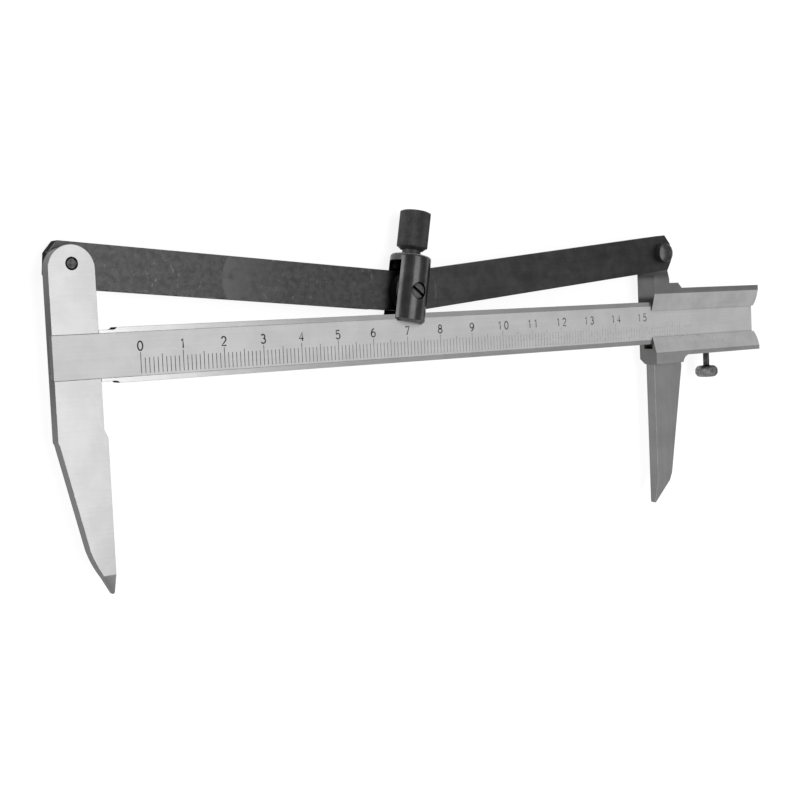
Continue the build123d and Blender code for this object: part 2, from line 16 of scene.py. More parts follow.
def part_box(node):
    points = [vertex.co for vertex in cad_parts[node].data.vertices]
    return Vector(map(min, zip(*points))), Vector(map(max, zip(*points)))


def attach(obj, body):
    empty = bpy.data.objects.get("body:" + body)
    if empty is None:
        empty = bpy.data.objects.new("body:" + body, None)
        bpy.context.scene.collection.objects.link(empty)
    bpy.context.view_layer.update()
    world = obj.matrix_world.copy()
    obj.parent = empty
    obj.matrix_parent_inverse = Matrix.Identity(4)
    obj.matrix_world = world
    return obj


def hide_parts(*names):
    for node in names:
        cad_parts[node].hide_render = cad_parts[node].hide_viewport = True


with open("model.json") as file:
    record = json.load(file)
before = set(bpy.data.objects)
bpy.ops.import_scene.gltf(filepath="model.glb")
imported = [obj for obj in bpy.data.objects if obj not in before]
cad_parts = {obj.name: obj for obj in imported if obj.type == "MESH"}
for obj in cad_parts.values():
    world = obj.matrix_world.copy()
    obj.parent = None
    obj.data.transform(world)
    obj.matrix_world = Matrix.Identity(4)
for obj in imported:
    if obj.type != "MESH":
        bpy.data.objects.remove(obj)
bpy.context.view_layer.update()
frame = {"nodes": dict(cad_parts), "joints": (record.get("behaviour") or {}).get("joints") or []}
nodes = frame["nodes"]
mm = 0.001
print("pieces from the CAD model:", len(nodes))

# %% [markdown]
# The finished lesson needs a few places again and again: the centre line of the
# beam, the floor of the sunk scale band and the reading at which the slider
# stands.  They are read from the boxes of the CAD pieces, so they follow the
# model when it changes.

# %% Places on the caliper
beam_low, beam_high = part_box("beam")
jaw_low, jaw_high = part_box("fixed_jaw")
slider_face_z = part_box("slider_body")[1].z
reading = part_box("sliding_jaw")[0].x
beam_line_y = (beam_low.y + beam_high.y) / 2
band_depth = 0.15 * mm
band_z = beam_high.z - band_depth
floor_z = min(low.z for low, high in map(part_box, nodes))
screw_low, screw_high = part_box("centre_pivot_screw")
centre_pivot = (screw_low + screw_high) / 2
pin_low, pin_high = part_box("slider_pivot_pin")
slider_pivot = (pin_low + pin_high) / 2
print("reading in mm:", round(reading / mm, 2), "beam line:", round(beam_line_y / mm, 2))

# %% [markdown]
# Blender builds node trees one node at a time.  Small helpers keep that readable:
# one makes a node, sets its options and joins its inputs, and one starts a group
# with named inputs, so that its sizes can be changed from outside.

# %% Helpers for node trees


def put(tree, kind, inputs=None, **options):
    """Add a node, set its options, and set or join its inputs."""
    made = tree.nodes.new(kind)
    for option, value in options.items():
        setattr(made, option, value)
    for key, value in (inputs or {}).items():
        if isinstance(value, bpy.types.Node):
            value = value.outputs[0]
        if isinstance(value, bpy.types.NodeSocket):
            tree.links.new(value, made.inputs[key])
        else:
            made.inputs[key].default_value = value
    return made


def new_group(name, tree_type, outs, inputs):
    """Node group with named sockets, each given by a type or by a number to start at."""
    tree = bpy.data.node_groups.new(name, tree_type + "NodeTree")
    for side, sockets in (("OUTPUT", outs), ("INPUT", inputs)):
        for label, value in sockets.items():
            kind = {float: "Float", int: "Int"}.get(type(value), value)
            socket_type = "NodeSocket" + kind
            made = tree.interface.new_socket(label, in_out=side, socket_type=socket_type)
            if kind != value:
                made.default_value = value
    return tree, put(tree, "NodeGroupInput").outputs


def new_material(name):
    """Material with an empty node tree, and that tree."""
    material = bpy.data.materials.new(name)
    material.use_nodes = True
    material.node_tree.nodes.clear()
    return material, material.node_tree


def maths(tree, operation, first, second=0.0, clamp=False):
    """One sum on one or two values."""
    inputs = {0: first, 1: second}
    return put(tree, "ShaderNodeMath", inputs, operation=operation, use_clamp=clamp).outputs[0]


def times(tree, first, second):
    """Product of two values."""
    return maths(tree, "MULTIPLY", first, second)


def vector(tree, x=0.0, y=0.0, z=0.0):
    """Vector from its three parts."""
    return put(tree, "ShaderNodeCombineXYZ", {"X": x, "Y": y, "Z": z})


def vector_maths(tree, operation, inputs):
    """One sum on vectors."""
    return put(tree, "ShaderNodeVectorMath", inputs, operation=operation).outputs[0]


def remap(tree, value, low, high, to_low=0.0, to_high=1.0, smooth=False):
    """Carry a value from one range to another, held at both ends."""
    ends = {"From Min": low, "From Max": high, "To Min": to_low, "To Max": to_high}
    kind = "SMOOTHSTEP" if smooth else "LINEAR"
    inputs = {"Value": value, **ends}
    return put(tree, "ShaderNodeMapRange", inputs, interpolation_type=kind).outputs[0]


def noise(tree, place, scale, detail=2.0, roughness=0.5):
    """Noise pattern: a value and a colour."""
    inputs = {"Vector": place, "Scale": scale, "Detail": detail, "Roughness": roughness}
    return put(tree, "ShaderNodeTexNoise", inputs).outputs


def own_place(tree):
    """The object's own coordinates."""
    return put(tree, "ShaderNodeTexCoord").outputs["Object"]


def face_mark(tree, name):
    """A share that this script wrote on the faces."""
    return put(tree, "ShaderNodeAttribute", attribute_name=name).outputs["Fac"]


print("node helpers ready")

# %% [markdown]
# ## Shader groups
# Ground and brushed steel shows fine lines in the direction in which it was
# worked.  They could be an image, but noise that is stretched along one direction
# gives the same look at any size.  The group turns and stretches the object's own
# coordinates, counted in millimetres, and puts out the lines as a value.

# %% Brushed grain


def make_grain_group():
    """Fine lines in one direction, on the object's own coordinates."""
    sizes = {"Turn": 0.0, "Along": 0.12, "Across": 6.0}
    tree, given = new_group("brushed_grain", "Shader", {"Lines": "Float"}, sizes)
    turn = vector(tree, z=given["Turn"])
    lie = put(tree, "ShaderNodeMapping", {"Vector": own_place(tree), "Rotation": turn})
    stretch = vector(tree, given["Along"], given["Across"], given["Across"])
    in_mm = vector_maths(tree, "SCALE", {0: stretch, "Scale": 1 / mm})
    spread = vector_maths(tree, "MULTIPLY", {0: lie, 1: in_mm})
    fine = noise(tree, spread, 1.0, 4.0)["Fac"]
    coarse = noise(tree, spread, 0.31)["Fac"]
    both = maths(tree, "ADD", fine, coarse)
    put(tree, "NodeGroupOutput", {"Lines": times(tree, both, 0.5)})
    return tree


grain_group = make_grain_group()
print("grain sockets:", [s.name for s in grain_group.interface.items_tree])

# %% [markdown]
# Handled metal wears first along its edges.  The softened edges of the pieces
# carry an attribute that is one on the narrow faces of each edge, and this group
# breaks it up with noise, so that the wear comes and goes.

# %% Edge wear


def make_wear_group():
    """Broken line of wear along softened edges."""
    sizes = {"Amount": 0.5, "Size": 1.2}
    tree, given = new_group("edge_wear", "Shader", {"Mask": "Float"}, sizes)
    scale = maths(tree, "DIVIDE", 1 / mm, given["Size"])
    spots = noise(tree, own_place(tree), scale, 3.0)["Fac"]
    gate = maths(tree, "SUBTRACT", 1.0, given["Amount"])
    low = maths(tree, "ADD", times(tree, gate, 0.5), 0.22)
    high = maths(tree, "ADD", low, 0.12)
    broken = remap(tree, spots, low, high, smooth=True)
    put(tree, "NodeGroupOutput", {"Mask": times(tree, face_mark(tree, "edge"), broken)})
    return tree


wear_group = make_wear_group()
print("nodes in the wear group:", len(wear_group.nodes))

# %% [markdown]
# Gunmetal and worn black finishes are never even: there are soft cloudy patches
# from handling, small bright specks and a few fine scratches.  The patches and the
# specks are two sizes of noise.  The scratches are thin lines between the cells of
# a Voronoi pattern that was stretched and turned, kept only where the patches let
# them through.

# %% Patches, specks and scratches
scratch_bend = 4 * mm
scratch_turn = (0.0, 0.0, 0.9)
scratch_stretch = (1.0, 0.28, 1.0)


def make_patina_group():
    """Cloudy patches, specks and fine scratches."""
    tree, given = new_group(
        "patina",
        "Shader",
        dict.fromkeys(("Patches", "Specks", "Scratches"), "Float"),
        {"Patch size": 6.0, "Speck size": 0.5, "Scratch size": 5.0},
    )
    place = own_place(tree)

    def noise_of(size, detail, roughness=0.5):
        """Noise whose features have about the size given in millimetres."""
        return noise(tree, place, maths(tree, "DIVIDE", 1 / mm, size), detail, roughness)

    patches = noise_of(given["Patch size"], 5.0, 0.62)["Fac"]
    specks = noise_of(given["Speck size"], 2.0)["Fac"]
    bend = noise_of(given["Scratch size"], 1.0)["Color"]
    pull = vector_maths(tree, "SCALE", {0: bend, "Scale": scratch_bend})
    bent = vector_maths(tree, "ADD", {0: place, 1: pull})
    values = {"Vector": bent, "Rotation": scratch_turn, "Scale": scratch_stretch}
    slant = put(tree, "ShaderNodeMapping", values)
    values = {"Vector": slant, "Scale": maths(tree, "DIVIDE", 1 / mm, given["Scratch size"])}
    cells = put(tree, "ShaderNodeTexVoronoi", values, feature="DISTANCE_TO_EDGE")
    thin = remap(tree, cells.outputs["Distance"], 0.012, 0.0, smooth=True)
    kept = remap(tree, patches, 0.52, 0.62, smooth=True)
    masks = {
        "Patches": remap(tree, patches, 0.32, 0.68, smooth=True),
        "Specks": remap(tree, specks, 0.62, 0.72, smooth=True),
        "Scratches": times(tree, thin, kept),
    }
    put(tree, "NodeGroupOutput", masks)
    return tree


patina_group = make_patina_group()
print("nodes in the patina group:", len(patina_group.nodes))

# %% [markdown]
# Two marks have a place of their own.  One darkens a band along a line across Y:
# on the slider it is painted shade just above the beam and under the arm, and on
# the fixed jaw it makes the sides darker in two bands.  The other is an arc round a
# pivot: where one piece swings over another its rim rubs a bright arc, and on the
# centre screw the same arc paints shade round the rim of its head.  Both are
# distances: one from a line across Y, one from a circle round a pivot.

# %% Darkening along a line and an arc round a pivot


def make_line_dirt_group():
    """Darker band along a line of one height; on the slider it is painted shade."""
    sizes = {"Height": 0.0, "Reach": 1.0}
    tree, given = new_group("line_darkening", "Shader", {"Mask": "Float"}, sizes)
    y = put(tree, "ShaderNodeSeparateXYZ", {0: own_place(tree)}).outputs["Y"]
    away = maths(tree, "ABSOLUTE", maths(tree, "SUBTRACT", y, given["Height"]))
    near = remap(tree, away, given["Reach"], 0.0, smooth=True)
    put(tree, "NodeGroupOutput", {"Mask": near})
    return tree


def make_rub_group():
    """Arc with a sharp outer rim that fades inwards, broken up by noise: bright for a rub,
    near-black for painted shade.
    """
    names = ("Centre X", "Centre Y", "Radius", "Width", "Rim", "Side", "Cut")
    sizes = dict.fromkeys(names, 0.0)
    tree, given = new_group("arc_band", "Shader", {"Mask": "Float"}, sizes)
    place = own_place(tree)
    part = put(tree, "ShaderNodeSeparateXYZ", {0: place}).outputs
    across = maths(tree, "SUBTRACT", part["X"], given["Centre X"])
    up = maths(tree, "SUBTRACT", part["Y"], given["Centre Y"])
    squares = maths(tree, "ADD", times(tree, across, across), times(tree, up, up))
    inside = maths(tree, "SUBTRACT", given["Radius"], maths(tree, "SQRT", squares))
    begun = remap(tree, inside, 0.0, given["Rim"])
    near = times(tree, begun, remap(tree, inside, given["Width"], 0.0))
    far_side = times(tree, given["Radius"], -0.9)
    side = times(tree, across, given["Side"])
    near = times(tree, near, remap(tree, side, far_side, given["Radius"]))
    spots = noise(tree, place, 0.45 / mm, 3.0)["Fac"]
    whole = maths(tree, "ADD", given["Cut"], 0.25)
    broken = remap(tree, spots, given["Cut"], whole)
    put(tree, "NodeGroupOutput", {"Mask": times(tree, near, broken)})
    return tree


line_darkening_group = make_line_dirt_group()
arc_band_group = make_rub_group()
print("shader groups:", [g.name for g in bpy.data.node_groups])

# %% [markdown]
# ## Finishes
# Every finish on the caliper is bare or blackened steel, so one maker serves them
# all: a front colour, a colour for the narrow sides, which paints their shade
# (darker than the front on most pieces), a colour for the faces that are marked
# dull or painted lighter, and the groups laid over them, some of which paint
# shade.  Only the values differ.
# The numbers that are the same all over a piece sit on the shader itself.

# %% One maker for all the metal finishes
# Near-black colour for painted shade and for the darker bands.
darkening_colour = 0.012
darkening_on_sides = 0.8
bump_distance = 0.02 * mm


def shared(tree, group, inputs):
    """Use a shader group, and give its outputs."""
    return put(tree, "ShaderNodeGroup", inputs, node_tree=group).outputs


def mix_colour(tree, factor, first, second, blend="MIX"):
    """Mix two colours by a factor."""
    inputs = {0: factor, 6: first, 7: second}
    return put(tree, "ShaderNodeMix", inputs, data_type="RGBA", blend_type=blend).outputs[2]


def even_colour(tree, value):
    """Neutral colour from a value in the tree."""
    parts = dict.fromkeys(("Red", "Green", "Blue"), value)
    return put(tree, "ShaderNodeCombineColor", parts).outputs[0]


def grey(level, warmth=0.0):
    """Neutral colour with a trace of warmth."""
    return (level * (1 + warmth), level, level * (1 - warmth), 1.0)


def metal_finish(
    name, front, side, roughness, patch_contrast, dull_and_sheen=None, dull_roughness=None, turn=0.0,
    lines=(0.12, 6.0), line_contrast=0.1, line_depth=0.5, wear=0.3, wear_colour=0.5,
    patch_size=6.0, speck_colour=None, scratch_colour=None, dull_metallic=None, edge_on=1.0,
    warmth=0.0, darkening_lines=(), rub_and_shade_arc=None,
):
    """Worked metal with its grain, wear, patches and scratches, and painted light and shade."""
    if dull_and_sheen is None:
        dull_and_sheen = front
    if dull_roughness is None:
        dull_roughness = roughness
    material, tree = new_material(name)
    sizes = {"Turn": turn, "Along": lines[0], "Across": lines[1]}
    grain = shared(tree, grain_group, sizes)["Lines"]
    worn = shared(tree, wear_group, {"Amount": wear})["Mask"]
    patina = shared(tree, patina_group, {"Patch size": patch_size})
    side_mark = face_mark(tree, "side")
    dull_and_sheen_mark = face_mark(tree, "dull_and_sheen")
    # Painted shade: the narrow sides get their own copy of the colour, darker than the front on
    # most finishes, for how light falls on them.
    colour = mix_colour(tree, side_mark, grey(front, warmth), grey(side, warmth))
    # Faces marked here take the second colour: a duller finish, and on the slider and on the
    # centre body's rim, painted light.
    colour = mix_colour(tree, dull_and_sheen_mark, colour, grey(dull_and_sheen, warmth))
    shade = remap(tree, grain, 0.3, 0.7, 1 - line_contrast, 1 + line_contrast)
    patches = patina["Patches"]
    cloud = remap(tree, patches, 0.0, 1.0, 1 - patch_contrast, 1 + patch_contrast)
    tint = even_colour(tree, times(tree, shade, cloud))
    colour = mix_colour(tree, 1.0, colour, tint, "MULTIPLY")
    layers = [(patina["Specks"], speck_colour), (patina["Scratches"], scratch_colour)]
    for mask, level in layers + [(worn, wear_colour)]:
        if level is not None:
            colour = mix_colour(tree, mask, colour, grey(level, warmth))
    # The arc is a bright rub on the arms and painted shade on the centre screw.
    if rub_and_shade_arc is not None:
        arc_sizes, arc_colour = rub_and_shade_arc
        arc_mark = shared(tree, arc_band_group, dict(enumerate(arc_sizes)))["Mask"]
        colour = mix_colour(tree, arc_mark, colour, grey(arc_colour))
    # Painted shade on the slider, above the beam and under the arm, and darker bands on the fixed
    # jaw's sides.
    for height, reach, front_share in darkening_lines:
        darkening = shared(tree, line_darkening_group, {"Height": height, "Reach": reach})["Mask"]
        strength = remap(tree, side_mark, 0.0, 1.0, front_share, darkening_on_sides)
        colour = mix_colour(tree, times(tree, darkening, strength), colour, grey(darkening_colour))
    # Painted shade: faces marked here are painted near-black, for shade in recesses, slots and
    # round pin rims.
    colour = mix_colour(tree, face_mark(tree, "painted_shade"), colour, grey(darkening_colour))
    rough = remap(tree, dull_and_sheen_mark, 0.0, 1.0, roughness, dull_roughness)
    bump = {"Height": grain, "Strength": line_depth, "Distance": bump_distance}
    values = {
        "Base Color": colour,
        "Roughness": maths(tree, "MULTIPLY", rough, shade, clamp=True),
        "Normal": put(tree, "ShaderNodeBump", bump),
        "Metallic": 1.0,
        "Specular Tint": grey(edge_on),
    }
    shader = put(tree, "ShaderNodeBsdfPrincipled", values)
    if dull_metallic is not None:
        metal_here = remap(tree, dull_and_sheen_mark, 0.0, 1.0, 1.0, dull_metallic)
        tree.links.new(metal_here, shader.inputs["Metallic"])
    put(tree, "ShaderNodeOutputMaterial", {"Surface": shader})
    return material


print("a warm grey:", grey(0.5, 0.25))

# %% [markdown]
# The values come from looking at the photograph.  The jaws are fine ground and
# bright, with their sides painted darker as shade.  The beam has bright edge strips
# and a dull scale band.  The slider is bright on its two bevels and darker on its
# narrow front faces.  The face below its window is painted a little lighter as light
# from above, and bands of painted shade lie above the beam and under the arm.
# The arms are gunmetal with soft patches, and the centre body and its screw are
# black, with a painted highlight along the body's top rim.  Each arc is given by
# its centre, radius, width, rim, strong side and cut.  On the arms it is a bright
# rub, and on the centre screw it is painted shade round the rim of its head.

# %% The finishes
quarter_turn = math.pi / 2
pivot_x, pivot_y = centre_pivot.x, centre_pivot.y
rub_mark_x = 39.3 * mm
rub_mark_y = pivot_y + 3.9 * mm
left_arc = (rub_mark_x, rub_mark_y, 9 * mm, 30 * mm, 0.4 * mm, -1.0, 0.25)
right_arc = (pivot_x, pivot_y, 7.4 * mm, 0.9 * mm, 0.3 * mm, 1.0, 0.43)
# Near-black ring of painted shade round the rim of the centre screw's head.
screw_rim_shade = (pivot_x, pivot_y, 1.85 * mm, 0.9 * mm, 0.05 * mm, 0.0, 0.0)
# The fixed jaw's sides are made darker in two bands.  The slider is painted with shade just above
# the beam and under the arm.
jaw_darkening = [(jaw_low.y + 3 * mm, 8 * mm, 0.0), (beam_line_y + 2 * mm, 22 * mm, 0.0)]
slider_shade_lines = [(beam_high.y + 0.5 * mm, 1.6 * mm, 0.0), (pivot_y + 2.5 * mm, 2.2 * mm, 0.55)]
finish_values = {
    "satin_steel": dict(
        front=0.585, side=0.2, dull_and_sheen=0.64, roughness=0.3, dull_roughness=0.5,
        line_contrast=0.05, patch_contrast=0.04, wear_colour=0.65, line_depth=0.2,
        dull_metallic=0.4, edge_on=0.3,
    ),
    "ground_steel": dict(
        front=0.46, side=0.1, dull_and_sheen=0.27, roughness=0.34, dull_roughness=0.45,
        lines=(0.25, 7.0), line_contrast=0.05, patch_contrast=0.05, wear_colour=0.55,
        line_depth=0.12, darkening_lines=jaw_darkening,
    ),
    "smooth_ground_steel": dict(
        front=0.47, side=0.19, roughness=0.36, turn=quarter_turn, lines=(0.1, 3.0),
        line_contrast=0.05, patch_contrast=0.06, patch_size=8.0, wear=0.2,
        wear_colour=0.42, line_depth=0.1,
    ),
    # The lighter second colour is the finish of the bevels, and in part it paints light from
    # above on the face below the window.
    "slider_steel": dict(
        front=0.32, side=0.13, dull_and_sheen=0.57, roughness=0.36, dull_roughness=0.45,
        line_contrast=0.04, patch_contrast=0.08, wear=0.45, line_depth=0.2,
        dull_metallic=0.5, darkening_lines=slider_shade_lines,
    ),
    "blued_steel": dict(
        front=0.084, side=0.035, roughness=0.42, lines=(0.12, 1.6), patch_contrast=0.17,
        patch_size=1.5, wear=0.5, wear_colour=0.2, speck_colour=0.11,
        scratch_colour=0.22, line_depth=0.3, edge_on=0.4, rub_and_shade_arc=(left_arc, 0.125),
    ),
    "dark_blued_steel": dict(
        front=0.082, side=0.035, roughness=0.42, lines=(0.12, 1.6), line_contrast=0.08,
        patch_contrast=0.16, patch_size=3.5, wear=0.5, wear_colour=0.18,
        line_depth=0.3, edge_on=0.4, rub_and_shade_arc=(right_arc, 0.22),
    ),
    "dark_steel": dict(
        front=0.08, side=0.03, roughness=0.4, patch_contrast=0.5, patch_size=0.8,
        line_contrast=0.15, wear=0.5, wear_colour=0.16, scratch_colour=0.2, edge_on=0.5,
    ),
    "pin_steel": dict(
        front=0.09, side=0.16, roughness=0.36, patch_contrast=0.12, patch_size=2.0,
        line_contrast=0.06, wear_colour=0.1,
    ),
    "screw_steel": dict(
        front=0.15, side=0.05, roughness=0.4, patch_contrast=0.25, patch_size=1.5,
        wear_colour=0.12, rub_and_shade_arc=(screw_rim_shade, 0.01),
    ),
    # The lighter second colour of the black oxide paints a highlight along the centre body's top
    # rim.
    "black_oxide": dict(
        front=0.084, side=0.084, dull_and_sheen=0.4, roughness=0.25, dull_roughness=0.4,
        lines=(3.0, 0.4), line_contrast=0.12, patch_contrast=0.18, patch_size=3.0,
        wear=0.6, wear_colour=0.2, line_depth=0.2,
    ),
    "black_knurl": dict(
        front=0.08, side=0.08, roughness=0.55, patch_contrast=0.15, patch_size=2.0,
        wear=0.5, wear_colour=0.16, edge_on=0.5,
    ),
    "mottled_steel": dict(
        front=0.2, side=0.2, dull_and_sheen=0.06, roughness=0.42, patch_contrast=0.4,
        patch_size=2.6, wear=0.0, scratch_colour=0.3, edge_on=0.5,
    ),
    "spring_steel": dict(
        front=0.45, side=0.4, roughness=0.35, lines=(0.4, 9.0), patch_contrast=0.08,
        wear_colour=0.6,
    ),
    "brass_pad": dict(
        front=0.3, side=0.25, roughness=0.4, warmth=0.25, patch_contrast=0.25, patch_size=1.5,
    ),
}
finishes = {name: metal_finish(name, **values) for name, values in finish_values.items()}
print("finishes:", sorted(finishes))

# %% [markdown]
# ## Softened pieces
# A machined edge is never perfectly sharp: it is broken with a stone or a file,
# and that narrow face catches the light.  Each main piece is therefore a copy of
# its CAD node, merged, with its flat faces made whole again, and given a small
# bevel.  The faces of the bevel get a material number of their own for a moment,
# which tells the script where to write the edge attribute.

# %% Soften the edges of a CAD piece
merge_distance = 0.0002 * mm
flat_within = math.radians(0.8)
sharp_beyond = math.radians(32)


def new_object(name, data):
    """Object in the scene."""
    made = bpy.data.objects.new(name, data)
    bpy.context.scene.collection.objects.link(made)
    return made


def make_plain(piece):
    """Give an object the mesh that its modifiers make, without the modifiers."""
    graph = bpy.context.evaluated_depsgraph_get()
    done = bpy.data.meshes.new_from_object(piece.evaluated_get(graph))
    piece.modifiers.clear()
    piece.data = done
    return done


def write_mark(mesh, name, test):
    """Write a face attribute: one where the test holds, or the share that it gives."""
    mark = mesh.attributes.new(name, "FLOAT", "FACE")
    for polygon, item in zip(mesh.polygons, mark.data):
        item.value = float(test(polygon))


def softened(node, body, finish, width=0.1 * mm, dull_and_sheen=None, painted_shade=None, place=None):
    """Copy of a CAD piece with softened edges and marked faces."""
    mesh = nodes[node].data.copy()
    for old in ("custom_normal", "sharp_edge", "sharp_face"):
        if old in mesh.attributes:
            mesh.attributes.remove(mesh.attributes[old])
    shell = bmesh.new()
    shell.from_mesh(mesh)
    bmesh.ops.remove_doubles(shell, verts=shell.verts, dist=merge_distance)
    bmesh.ops.dissolve_limit(shell, angle_limit=flat_within, verts=shell.verts, edges=shell.edges)
    shell.to_mesh(mesh)
    shell.free()
    mesh.materials.clear()
    mesh.materials.append(finishes[finish])
    mesh.materials.append(finishes[finish])
    for polygon in mesh.polygons:
        polygon.material_index = 0
        polygon.use_smooth = True
    piece = new_object(node + "_finished", mesh)
    bevel = piece.modifiers.new("soft edge", "BEVEL")
    bevel.width = width
    bevel.segments = 2
    bevel.limit_method = "ANGLE"
    bevel.angle_limit = sharp_beyond
    bevel.harden_normals = True
    bevel.material = 1
    done = make_plain(piece)
    if place is not None:
        done.transform(place)
    write_mark(done, "edge", lambda face: face.material_index == 1)
    write_mark(done, "side", lambda face: abs(face.normal.z) < 0.5)
    if dull_and_sheen is not None:
        write_mark(done, "dull_and_sheen", dull_and_sheen)
    # The last mark holds faces that are painted near-black as shade.
    if painted_shade is not None:
        write_mark(done, "painted_shade", painted_shade)
    for polygon in done.polygons:
        polygon.material_index = 0
    done.materials.pop(index=1)
    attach(piece, body)
    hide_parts(node)


# %% [markdown]
# Some faces of a piece are duller than the rest.  Some are painted lighter as a
# highlight or as light from above, and some are painted near-black as shade in
# recesses, slots and round pin rims.  Small tests find them by where they lie and
# which way they look.  The clamp screw's axis, which leans with the centre body,
# comes from the joint of the CAD model.

# %% Which faces are dull, painted lighter or painted with shade
relief_reach = 10 * mm
relief_edge = 0.6 * mm
recess_radius = 2.38 * mm
recess_depth = 0.3 * mm
narrow_area = 0.3 * mm * mm
slot_depth = 0.012 * mm
dome_ring = (1.3 * mm, 2.2 * mm)
# Share of the lighter colour on the face below the slider's window: painted light from above.
painted_light_below_window = 0.4
# Strength of the painted shade and dark reflection on the pivot pin's dome crescent.
dome_shade_share = 0.85
clamp_joint = next(j for j in frame["joints"] if j["name"] == "clamp_turn")
clamp_foot = Vector(clamp_joint["pos_m"])
clamp_axis = Vector(clamp_joint["axis"]).normalized()


def heights_along_clamp(node):
    """How far each point of a CAD piece lies along the clamp screw's axis."""
    return [(v.co - clamp_foot).dot(clamp_axis) for v in nodes[node].data.vertices]


body_top = max(heights_along_clamp("centre_body"))


def on_band(face):
    """The sunk scale band looks out at its own height."""
    return face.normal.z > 0.9 and face.center.z < band_z + 0.05 * mm


def on_bevel(face):
    """The two slanted faces beside the slider's window, and in part the face below them, which is
    painted lighter as light from above.
    """
    if 0.15 < abs(face.normal.y) < 0.5 and face.normal.z > 0.8:
        return 1.0
    below = face.normal.z > 0.9 and face.center.y < beam_low.y
    return painted_light_below_window if below else 0.0


def on_tip(face):
    """The slanted facet on the front of a jaw's tip."""
    return face.normal.y < -0.15 and face.normal.z > 0.5


def in_relief(face):
    """The steep ends of the two relief cuts next to the fixed jaw, painted dark as shade in the
    recess.
    """
    near = jaw_high.x < face.center.x < jaw_high.x + relief_reach
    half_height = (beam_high.y - beam_low.y) / 2
    at_edge = abs(face.center.y - beam_line_y) > half_height - relief_edge
    return near and at_edge and face.normal.x < -0.1


def round_screw(face):
    """Walls, floor and narrow rim of the recess in which the pivot screw sits, painted dark as
    shade.
    """
    away = (face.center.xy - centre_pivot.xy).length
    sunk = abs(face.normal.z) < 0.5 or face.center.z < screw_high.z - recess_depth
    narrow = face.area < narrow_area
    return away < recess_radius and face.center.z > 0 and (sunk or narrow)


def in_slot(face):
    """Walls and floor of the screw's own slot, and the rim of its head, painted dark as shade."""
    return 0 < face.center.z < screw_high.z - slot_depth


def on_top_rim(face):
    """The narrow edge round the top of the centre body's front half, painted lighter as a
    highlight.
    """
    height = (face.center - clamp_foot).dot(clamp_axis)
    slant = face.normal.dot(clamp_axis)
    return height > body_top - 0.3 * mm and 0.2 < slant < 0.97 and face.center.z > 0


def on_pin_edge(face):
    """The broken edge round the front of the ear's pin, painted dark as shade."""
    return face.center.z > 0 and face.normal.z < 0.97


def round_dome(face):
    """The crescent between the low dome and the rim of the slider's pivot pin, on its +X side,
    painted dark as shade and dark reflection.
    """
    away = face.center.xy - slider_pivot.xy
    ring = dome_ring[0] < away.length < dome_ring[1] and face.normal.z > 0.5
    return dome_shade_share if ring and away.x > 0.3 * away.length else 0.0


print("top of the body in mm:", round(body_top / mm, 2))

# %% [markdown]
# Each call names the CAD piece, the body that it moves with, its finish and the
# width of its broken edge.  The slot of the centre screw is turned a little, to lie
# as it lies in the photograph.

# %% Soften the main pieces
to_pivot = Matrix.Translation(centre_pivot)
slot_turn = math.radians(17)
turn_slot = to_pivot @ Matrix.Rotation(slot_turn, 4, "Z") @ to_pivot.inverted()

# The faces found by in_relief, round_screw, in_slot, round_dome and on_pin_edge are painted
# near-black as shade.
softened("beam", "beam_body", "satin_steel", dull_and_sheen=on_band, painted_shade=in_relief)
softened("fixed_jaw", "beam_body", "ground_steel", 0.08 * mm, dull_and_sheen=on_tip)
softened("sliding_jaw", "slider", "smooth_ground_steel", 0.08 * mm)
softened("slider_body", "slider", "slider_steel", 0.08 * mm, dull_and_sheen=on_bevel)
softened("slider_back_plate", "slider", "slider_steel", 0.06 * mm)
softened("left_arm", "left_link", "blued_steel", 0.12 * mm)
softened("right_arm", "right_link", "dark_blued_steel", 0.12 * mm)
softened("centre_body", "centre", "black_oxide", 0.16 * mm, dull_and_sheen=on_top_rim, painted_shade=round_screw)
softened(
    "centre_pivot_screw", "centre", "screw_steel", 0.14 * mm, painted_shade=in_slot, place=turn_slot
)
softened("slider_pivot_pin", "right_link", "pin_steel", 0.06 * mm, painted_shade=round_dome)
softened("ear_pivot_pin", "beam_body", "dark_steel", 0.06 * mm, painted_shade=on_pin_edge)
softened("tongue_nut", "slider", "dark_steel", 0.06 * mm)

# %% [markdown]
# The small fittings that hardly show keep their CAD shape and only take a finish.

# %% Finishes for the small fittings
steel_fittings = (
    "ear_friction_washer", "ear_rivet_washer", "eye_friction_washer", "tongue_washer",
    "back_plate_screws", "gib_springs",
)
small_fittings = dict.fromkeys(steel_fittings, "spring_steel")
small_fittings.update({"gib_strip": "brass_pad", "clamp_pad": "dark_steel"})
for node, slot in small_fittings.items():
    nodes[node].data.materials.clear()
    nodes[node].data.materials.append(finishes[slot])
print("fittings:", len(small_fittings))

# %% [markdown]
# ## The engraved scale
# The beam is ruled in millimetres.  Every fifth line starts a little higher and
# every tenth higher still, and all of them end on one line.  That is a rule, so a
# Geometry Nodes tree makes the lines: it places one point for each mark, works out
# from its number how long the mark is, and puts a thin filled bar there.

# %% A tree that rules a scale
shape_out = {"Geometry": "Geometry"}


def copies_at(tree, count, place, shape, size, turn=None):
    """Real copies of a shape, each at the place that its number gives."""
    points = put(tree, "GeometryNodePoints", {"Count": count})
    placed = put(tree, "GeometryNodeSetPosition", {"Geometry": points, "Position": place})
    values = {"Points": placed, "Instance": shape, "Scale": size}
    if turn is not None:
        values["Rotation"] = turn
    copies = put(tree, "GeometryNodeInstanceOnPoints", values)
    return put(tree, "GeometryNodeRealizeInstances", {"Geometry": copies})


